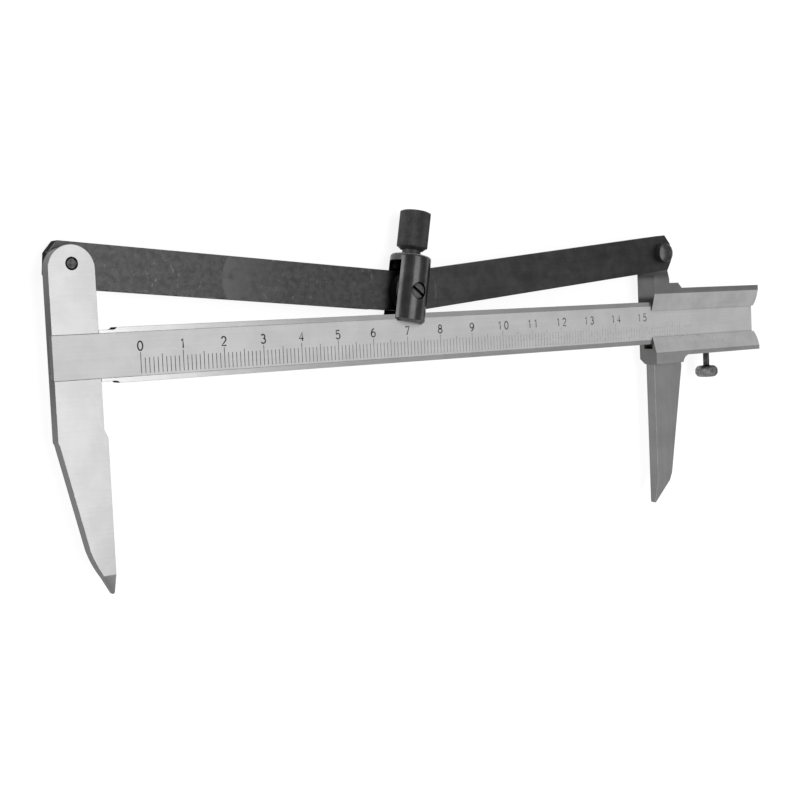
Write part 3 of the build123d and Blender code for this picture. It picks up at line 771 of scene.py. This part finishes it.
def end_tree(tree, shape, material):
    """Give a shape its material and put it out."""
    inked = put(tree, "GeometryNodeSetMaterial", {"Geometry": shape, "Material": material})
    put(tree, "NodeGroupOutput", {"Geometry": inked})
    return tree


def make_ruler_tree():
    """Ruled marks of three lengths, in a row along X."""
    names = ("Pitch", "Width", "Depth", "End", "Short", "Middle", "Long")
    inputs = {"Count": 11, **dict.fromkeys(names, 0.0), "Material": "Material"}
    tree, given = new_group("ruled_marks", "Geometry", shape_out, inputs)
    number = put(tree, "GeometryNodeInputIndex")

    def each(every):
        """True for every mark whose number divides by the one given."""
        values = {"A": maths(tree, "MODULO", number, every), "B": 0.5}
        return put(tree, "FunctionNodeCompare", values, operation="LESS_THAN")

    def choose(test, no, yes):
        """One of two values."""
        values = {"Switch": test, "False": no, "True": yes}
        return put(tree, "GeometryNodeSwitch", values, input_type="FLOAT").outputs[0]

    top = choose(each(5.0), given["Short"], given["Middle"])
    top = choose(each(10.0), top, given["Long"])
    height = maths(tree, "SUBTRACT", top, given["End"])
    middle = times(tree, maths(tree, "ADD", top, given["End"]), 0.5)
    place = vector(tree, times(tree, number, given["Pitch"]), middle)
    size = vector(tree, given["Width"], height, given["Depth"])
    bars = copies_at(tree, given["Count"], place, put(tree, "GeometryNodeMeshCube"), size)
    return end_tree(tree, bars, given["Material"])


def grown(name, tree, values, start=None):
    """Plain mesh object that a Geometry Nodes tree makes from its named inputs."""
    piece = new_object(name, start or bpy.data.meshes.new(name))
    modifier = piece.modifiers.new("tree", "NODES")
    modifier.node_group = tree
    for item in tree.interface.items_tree:
        if item.in_out == "INPUT" and item.name in values:
            modifier[item.identifier] = values[item.name]
    done = make_plain(piece)
    print(name, "faces:", len(done.polygons))
    return piece


ruler_tree = make_ruler_tree()
print("nodes in the ruler tree:", len(ruler_tree.nodes))

# %% [markdown]
# The lines are filled with black that has been rubbed out by use, more and more
# towards the slider, so the filling goes from fresh black to a grey.  The numbers
# have kept more of their black than the marks.

# %% Ink in the engraving
fresh_ink = 0.025
faded_marks = 0.47
faded_numbers = 0.17
fading_starts_x = 30 * mm


def ink_finish(name, faded_ink):
    """Black filling that is rubbed out more and more towards the slider."""
    material, tree = new_material(name)
    x = put(tree, "ShaderNodeSeparateXYZ", {0: own_place(tree)}).outputs["X"]
    faded = remap(tree, x, fading_starts_x, reading, fresh_ink, faded_ink)
    patches = shared(tree, patina_group, {"Patch size": 0.8})["Patches"]
    cloud = remap(tree, patches, 0.0, 1.0, 0.7, 1.5)
    colour = even_colour(tree, times(tree, faded, cloud))
    shader = put(tree, "ShaderNodeBsdfPrincipled", {"Base Color": colour, "Roughness": 0.6})
    put(tree, "ShaderNodeOutputMaterial", {"Surface": shader})
    return material


scale_ink = ink_finish("scale_ink", faded_marks)
number_ink = ink_finish("number_ink", faded_numbers)
print("inks:", scale_ink.name, number_ink.name)

# %% [markdown]
# The zero mark stands a little to the right of the fixed jaw, and the slider's own
# zero stands as far from the moving jaw.  The bars are filled engraving: they are
# sunk into the band and stand out by a hundredth of a millimetre, so that they
# cover the steel without a gap.

# %% Marks on the beam
zero_x = 8.37 * mm
ink_proud = 0.012 * mm
ink_depth = 0.05 * mm
ink_middle = ink_proud - ink_depth / 2
mark_values = {
    "Count": 171,
    "Pitch": 1.0 * mm,
    "Width": 0.15 * mm,
    "Depth": ink_depth,
    "End": -4.17 * mm,
    "Short": -0.85 * mm,
    "Middle": -0.24 * mm,
    "Long": 0.3 * mm,
    "Material": scale_ink,
}
beam_marks = grown("beam_marks", ruler_tree, mark_values)
beam_marks.data.transform(Matrix.Translation((zero_x, beam_line_y, band_z + ink_middle)))
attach(beam_marks, "beam_body")

# %% [markdown]
# The slider carries the short second scale on its lower bevel: ten divisions that
# are each a tenth of a millimetre short of two.  The same tree rules it, and the
# finished bars are then tipped to lie in the slanted face.

# %% Marks on the slider
bevel_low_y = -8.15 * mm
bevel_high_y = -3.95 * mm
bevel_high_z = 1.7 * mm
bevel_slope = math.atan2(bevel_high_z - slider_face_z, bevel_high_y - bevel_low_y)
slider_mark_values = {
    **mark_values,
    **dict.fromkeys(("Short", "Middle", "Long"), -0.06 * mm),
    "Count": 11,
    "Pitch": 1.9 * mm,
    "End": -2.95 * mm,
    "Width": 0.14 * mm,
}
slider_marks = grown("slider_marks", ruler_tree, slider_mark_values)
tip = Matrix.Rotation(bevel_slope, 4, "X")
lift = Matrix.Translation((0, 0, ink_middle))
seat = Matrix.Translation((reading + zero_x, beam_line_y + bevel_high_y, bevel_high_z))
slider_marks.data.transform(seat @ tip @ lift)
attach(slider_marks, "slider")
print("bevel slope in degrees:", round(math.degrees(bevel_slope), 1))

# %% [markdown]
# ## The numbers
# An engraving machine cuts each number with one round cutter, so a number is a
# path and not a filled letter.  The strokes are described here as lines and arcs in
# a unit box, and a second tree runs a thin bar along every path.

# %% Strokes of the numbers


def arc(centre_x, centre_y, radius_x, radius_y, start, end, steps=14):
    """Points on part of an ellipse."""
    points = []
    for step in range(steps + 1):
        angle = math.radians(start + (end - start) * step / steps)
        x = centre_x + radius_x * math.cos(angle)
        points.append((x, centre_y + radius_y * math.sin(angle)))
    return points


digit_strokes = {
    "0": [arc(0.5, 0.5, 0.5, 0.5, 90, 450)],
    "1": [[(0.2, 0.8), (0.55, 1.0), (0.55, 0.0)]],
    "2": [arc(0.48, 0.7, 0.46, 0.3, 165, -35) + [(0.02, 0.0), (1.0, 0.0)]],
    "3": [arc(0.46, 0.76, 0.4, 0.24, 150, -80) + arc(0.46, 0.27, 0.5, 0.27, 80, -150)],
    "4": [[(0.72, 0.0), (0.72, 1.0), (0.0, 0.3), (1.0, 0.3)]],
    "5": [[(0.9, 1.0), (0.15, 1.0), (0.08, 0.56)] + arc(0.46, 0.33, 0.5, 0.33, 130, -150)],
    "6": [arc(0.9, 0.32, 0.9, 0.68, 100, 180, 8) + arc(0.5, 0.3, 0.5, 0.3, 180, 540)],
    "7": [[(0.0, 1.0), (1.0, 1.0), (0.35, 0.0)]],
    "8": [arc(0.5, 0.76, 0.38, 0.24, -90, 270) + arc(0.5, 0.26, 0.5, 0.26, 90, -270)],
    "9": [arc(0.1, 0.68, 0.9, 0.68, -80, 0, 8) + arc(0.5, 0.7, 0.5, 0.3, 0, 360)],
}


def make_stroke_tree():
    """Thin bar along every path of a wire mesh that lies in the XY plane."""
    inputs = {"Geometry": "Geometry", "Width": 0.0, "Depth": 0.0, "Material": "Material"}
    tree, given = new_group("engraved_strokes", "Geometry", shape_out, inputs)
    paths = put(tree, "GeometryNodeMeshToCurve", {"Mesh": given["Geometry"]})
    level = put(tree, "GeometryNodeSetCurveNormal", {"Curve": paths}, mode="Z_UP")
    sizes = {"Width": given["Width"], "Height": given["Depth"]}
    cutter = put(tree, "GeometryNodeCurvePrimitiveQuadrilateral", sizes)
    values = {"Curve": level, "Profile Curve": cutter, "Fill Caps": True}
    return end_tree(tree, put(tree, "GeometryNodeCurveToMesh", values), given["Material"])


stroke_tree = make_stroke_tree()
print("digits:", len(digit_strokes))

# %% [markdown]
# All the numbers from nought to fifteen go into one wire mesh, each centred over
# its long mark, those of two digits a little to its right.  The tree turns them
# into engraving in one go.

# %% Numbers on the beam
digit_height = 1.95 * mm
digit_width = 1.15 * mm
digit_gap = 0.95 * mm
digit_middle_y = 1.66 * mm
pair_shift = 0.22 * mm
wire_points = []
wire_edges = []


def write_number(text, centre_x, centre_y):
    """Add the strokes of a number to the wire mesh."""
    full = len(text) * digit_width + (len(text) - 1) * digit_gap
    left = centre_x - full / 2 + (len(text) - 1) * pair_shift
    for digit in text:
        for stroke in digit_strokes[digit]:
            first = len(wire_points)
            for x, y in stroke:
                height = centre_y + (y - 0.5) * digit_height
                wire_points.append((left + x * digit_width, height, 0.0))
            wire_edges.extend((k, k + 1) for k in range(first, len(wire_points) - 1))
        left += digit_width + digit_gap


for centimetre in range(16):
    write_number(str(centimetre), zero_x + centimetre * 10 * mm, beam_line_y + digit_middle_y)
wires = bpy.data.meshes.new("number_wires")
wires.from_pydata(wire_points, wire_edges, [])
stroke_values = {"Width": 0.33 * mm, "Depth": ink_depth, "Material": number_ink}
beam_numbers = grown("beam_numbers", stroke_tree, stroke_values, wires)
beam_numbers.data.transform(Matrix.Translation((0, 0, band_z + ink_middle)))
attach(beam_numbers, "beam_body")
print("points on the strokes:", len(wire_points))

# %% [markdown]
# ## The knurled clamp screw
# The clamp screw is turned from one bar and its knob is knurled with crossed
# wheels, which leaves rows of small raised diamonds.  The turned shape comes from a
# profile that is spun round the axis, and a tree sets the diamonds on it, every
# second row shifted by half a diamond.

# %% Turned shapes


def turned(name, profile, around=64):
    """Mesh of a profile of (radius, height) points spun round the Y axis."""
    shell = bmesh.new()
    rings = []
    for radius, height in profile:
        ring = []
        for step in range(around if radius else 1):
            angle = math.tau * step / around
            place = (radius * math.cos(angle), height, radius * math.sin(angle))
            ring.append(shell.verts.new(place))
        rings.append(ring)
    for low, high in zip(rings, rings[1:]):
        for step in range(around):
            other = (step + 1) % around
            if len(low) == 1:
                corners = (low[0], high[step], high[other])
            elif len(high) == 1:
                corners = (low[other], low[step], high[0])
            else:
                corners = (low[other], low[step], high[step], high[other])
            shell.faces.new(corners)
    bmesh.ops.recalc_face_normals(shell, faces=shell.faces)
    mesh = bpy.data.meshes.new(name)
    shell.to_mesh(mesh)
    shell.free()
    mesh.shade_smooth()
    mesh.set_sharp_from_angle(angle=math.radians(40))
    return mesh


def rounded_corner(outer, end, size, steps=5):
    """Profile points of a rounded corner, from the end face out to the rim."""
    points = []
    for step in range(steps + 1):
        angle = math.pi / 2 * step / steps
        radius = outer - size + size * math.sin(angle)
        points.append((radius, end + size * (1 - math.cos(angle))))
    return points


print("shape helpers ready")

# %% [markdown]
# A crossed knurl is a grid wrapped round a cylinder.  The tree gives each diamond a
# row and a column from its number, bends the grid round the axis and sets a low
# four-sided cone on every point.

# %% Knurls as a tree


def make_knurl_tree():
    """Raised diamonds on a cylinder round the Y axis, every second row shifted."""
    names = ("Radius", "Start", "Row pitch", "Tooth height", "Tooth width", "Tooth length")
    inputs = {"Geometry": "Geometry", "Around": 36, "Rows": 20, **dict.fromkeys(names, 0.0)}
    inputs["Material"] = "Material"
    tree, given = new_group("diamond_knurl", "Geometry", shape_out, inputs)
    around, radius = given["Around"], given["Radius"]
    number = put(tree, "GeometryNodeInputIndex")
    row = maths(tree, "DIVIDE", maths(tree, "ADD", number, 0.5), around)
    row = maths(tree, "FLOOR", row)
    column = maths(tree, "SUBTRACT", number, times(tree, row, around))
    shift = times(tree, maths(tree, "MODULO", row, 2.0), 0.5)
    share = maths(tree, "DIVIDE", maths(tree, "ADD", column, shift), around)
    angle = times(tree, share, math.tau)
    x = times(tree, maths(tree, "SINE", angle), radius)
    y = maths(tree, "ADD", given["Start"], times(tree, row, given["Row pitch"]))
    z = times(tree, maths(tree, "COSINE", angle), radius)
    cone = {"Vertices": 4, "Radius Top": 0.16, "Radius Bottom": 1.0, "Depth": 1.0}
    tooth = put(tree, "GeometryNodeMeshCone", cone)
    size = vector(tree, given["Tooth width"], given["Tooth length"], given["Tooth height"])
    total = times(tree, around, given["Rows"])
    place = vector(tree, x, y, z)
    teeth = copies_at(tree, total, place, tooth, size, vector(tree, y=angle))
    both = put(tree, "GeometryNodeJoinGeometry", {0: teeth})
    tree.links.new(given["Geometry"], both.inputs[0])
    return end_tree(tree, both, given["Material"])


knurl_tree = make_knurl_tree()
print("nodes in the knurl tree:", len(knurl_tree.nodes))

# %% [markdown]
# The axis of the clamp screw leans with the centre body.  Its foot, its lean and
# its two ends are worked out from the CAD model, so the finished screw stands
# exactly where the CAD screw stands.

# %% The clamp screw
clamp_lean = math.atan2(clamp_axis.x, clamp_axis.y)
stand_clamp = Matrix.Translation(clamp_foot) @ Matrix.Rotation(-clamp_lean, 4, "Z")
stem_radius = 1.25 * mm
neck_radius = 2.25 * mm
knob_radius = 3.7 * mm
tooth_height = 0.13 * mm
small_break = 0.1 * mm
clamp_heights = heights_along_clamp("clamp_screw")
stem_end = min(clamp_heights)
knob_end = max(clamp_heights)
neck_start = body_top + 0.02 * mm
knob_start = neck_start + 1.3 * mm
core = knob_radius - tooth_height
chamfer = 0.9 * mm
top_round = 0.6 * mm
clamp_profile = [
    (0, stem_end),
    (stem_radius - small_break, stem_end),
    (stem_radius, stem_end + small_break),
    (stem_radius, neck_start),
    (neck_radius - small_break, neck_start),
    (neck_radius, neck_start + small_break),
    (neck_radius, knob_start),
    (knob_radius - chamfer, knob_start),
    (core, knob_start + chamfer - tooth_height),
    (core, knob_end - top_round),
    (core - 0.18 * mm, knob_end - 0.2 * mm),
    (core - 0.5 * mm, knob_end - 0.04 * mm),
    (core - 0.8 * mm, knob_end),
    (0, knob_end),
]
diamonds_around = 36
row_pitch = 0.367 * mm
knurl_start = knob_start + chamfer
knurl_rows = int((knob_end - top_round * 0.6 - knurl_start) / row_pitch) + 1
knurl_values = {
    "Around": diamonds_around,
    "Rows": knurl_rows,
    "Radius": core + tooth_height / 2 - 0.01 * mm,
    "Start": knurl_start,
    "Row pitch": row_pitch,
    "Tooth height": tooth_height,
    "Tooth width": math.pi * knob_radius / diamonds_around,
    "Tooth length": row_pitch,
    "Material": finishes["black_knurl"],
}
clamp_shape = turned("clamp_turned", clamp_profile)
clamp_screw = grown("clamp_screw_finished", knurl_tree, knurl_values, clamp_shape)
clamp_screw.data.transform(stand_clamp)
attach(clamp_screw, "clamp")
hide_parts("clamp_screw")
print("knob from", round(knob_start / mm, 2), "to", round(knob_end / mm, 2), "rows:", knurl_rows)

# %% [markdown]
# ## The lock screw
# Under the slider sits a small screw with a flat round head.  Its rim has a coarse
# knurl for the thumb.  The same tree makes it with one row of long teeth.

# %% The lock screw
lock_joint = next(j for j in frame["joints"] if j["name"] == "lock_turn")
lock_low, lock_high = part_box("lock_screw")
lock_x = lock_joint["pos_m"][0]
head_low = lock_low.y
head_high = head_low + 3.2 * mm
head_radius = (lock_high.x - lock_low.x) / 2
lock_stem_radius = 0.85 * mm
stem_flare = 0.25 * mm
rim_tooth = 0.1 * mm
lock_teeth = 44
head_round = 1.2 * mm
rim = head_radius - rim_tooth * 0.7
low_corner = rounded_corner(rim, head_low, head_round)
high_corner = [(radius, head_low + head_high - height) for radius, height in reversed(low_corner)]
lock_profile = [(0, head_low)] + low_corner + high_corner
lock_profile += [
    (lock_stem_radius + stem_flare, head_high),
    (lock_stem_radius, head_high + stem_flare),
    (lock_stem_radius, lock_high.y - small_break),
    (lock_stem_radius - small_break, lock_high.y),
    (0, lock_high.y),
]
lock_values = {
    "Around": lock_teeth,
    "Rows": 1,
    "Radius": rim - rim_tooth / 2 + rim_tooth * 0.68,
    "Start": (head_low + head_high) / 2,
    "Row pitch": rim_tooth,
    "Tooth height": rim_tooth,
    "Tooth width": math.pi * head_radius / lock_teeth,
    "Tooth length": (head_high - head_low) / 2 - head_round / 2,
    "Material": finishes["mottled_steel"],
}
lock_shape = turned("lock_turned", lock_profile)
lock_screw = grown("lock_screw_finished", knurl_tree, lock_values, lock_shape)
write_mark(lock_screw.data, "dull_and_sheen", lambda face: face.center.y > head_high + 0.1 * mm)
lock_screw.data.transform(Matrix.Translation((lock_x, 0, 0)))
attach(lock_screw, "lock")
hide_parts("lock_screw")
print("head across in mm:", round(2 * head_radius / mm, 2), "teeth:", lock_teeth)

# %% [markdown]
# ## Floor, light and camera
# The caliper lies on a pale floor that curves up far away, so that every view has
# the same white behind it.  It is a turned shape like the screws, laid flat.  For
# the camera and for reflections the floor glows a little, and the rest of its
# brightness is real light, which keeps the shadow.

# %% The floor
floor_centre = (0.09, 0.02, floor_z)
floor_glow = 0.85
flat_floor = [(0.0, 0.0), (0.6, 0.0), (1.4, 0.0)]
floor_profile = flat_floor + [(1.8, 0.08), (2.2, 0.28), (2.6, 0.62), (3.0, 1.1)]
floor = new_object("floor", turned("floor", floor_profile, around=96))
lay_flat = Matrix.Rotation(quarter_turn, 4, "X")
floor.data.transform(Matrix.Translation(floor_centre) @ lay_flat)
floor_material, tree = new_material("pale_floor")
path = put(tree, "ShaderNodeLightPath").outputs
seen = maths(tree, "MAXIMUM", path["Is Camera Ray"], path["Is Glossy Ray"])
seen = maths(tree, "MAXIMUM", seen, path["Is Transmission Ray"])
plain = put(tree, "ShaderNodeBsdfDiffuse", {"Color": grey(0.8)})
dim = put(tree, "ShaderNodeBsdfDiffuse", {"Color": grey(0.3)})
glow = put(tree, "ShaderNodeEmission", {"Color": grey(1.0), "Strength": floor_glow})
white = put(tree, "ShaderNodeAddShader", {0: dim, 1: glow})
chosen = put(tree, "ShaderNodeMixShader", {0: seen, 1: plain, 2: white})
put(tree, "ShaderNodeOutputMaterial", {"Surface": chosen})
floor.data.materials.append(floor_material)
print("floor height in mm:", round(floor_z / mm, 2))

# %% [markdown]
# Polished black steel shows the lamps as bright streaks, so their places matter:
# one long soft lamp hangs overhead and one stands low on the left.  The rest of the
# light comes evenly from all sides.

# %% The light
world = bpy.data.worlds.new("studio")
bpy.context.scene.world = world
world.use_nodes = True
sky = world.node_tree.nodes["Background"].inputs
sky["Color"].default_value = grey(1.0)
sky["Strength"].default_value = 0.35


def add_lamp(name, place, target, size, radiance):
    """Soft lamp of a plain brightness that faces a point; its size is across, then up."""
    data = bpy.data.lights.new(name, "AREA")
    data.shape = "RECTANGLE"
    data.size, data.size_y = size
    data.energy = radiance * size[0] * size[1] * math.pi
    lamp = new_object(name, data)
    lamp.location = place
    aim = Vector(place) - Vector(target)
    lamp.rotation_euler = aim.to_track_quat("Z", "Y").to_euler()
    lamp.visible_camera = False


add_lamp("overhead", (0.19, 0.02, 0.8), (0.19, 0.02, 0.0), (0.45, 1.3), 2.0)
add_lamp("left_window", (-0.87, 0.02, 0.21), (0.0, 0.02, 0.21), (1.2, 0.38), 2.0)

# %% [markdown]
# The camera stands near the left end and looks slightly along the beam, so the
# moving jaw looks smaller than the fixed one.

# %% The camera
camera_data = bpy.data.cameras.new("camera")
camera_data.sensor_width = 36.0
camera_data.lens = 62.46
camera = new_object("camera", camera_data)
right_axis = Vector((0.80466, -0.04478, 0.59205))
up_axis = Vector((0.07419, 0.99692, -0.02543))
back_axis = right_axis.cross(up_axis)
turn = Matrix((right_axis, up_axis, back_axis)).transposed().to_4x4()
camera.matrix_world = Matrix.Translation((-0.1203, 0.03962, 0.2688)) @ turn
bpy.context.scene.camera = camera
bpy.context.scene.view_settings.view_transform = "Standard"
print("camera place:", [round(v, 4) for v in camera.matrix_world.translation])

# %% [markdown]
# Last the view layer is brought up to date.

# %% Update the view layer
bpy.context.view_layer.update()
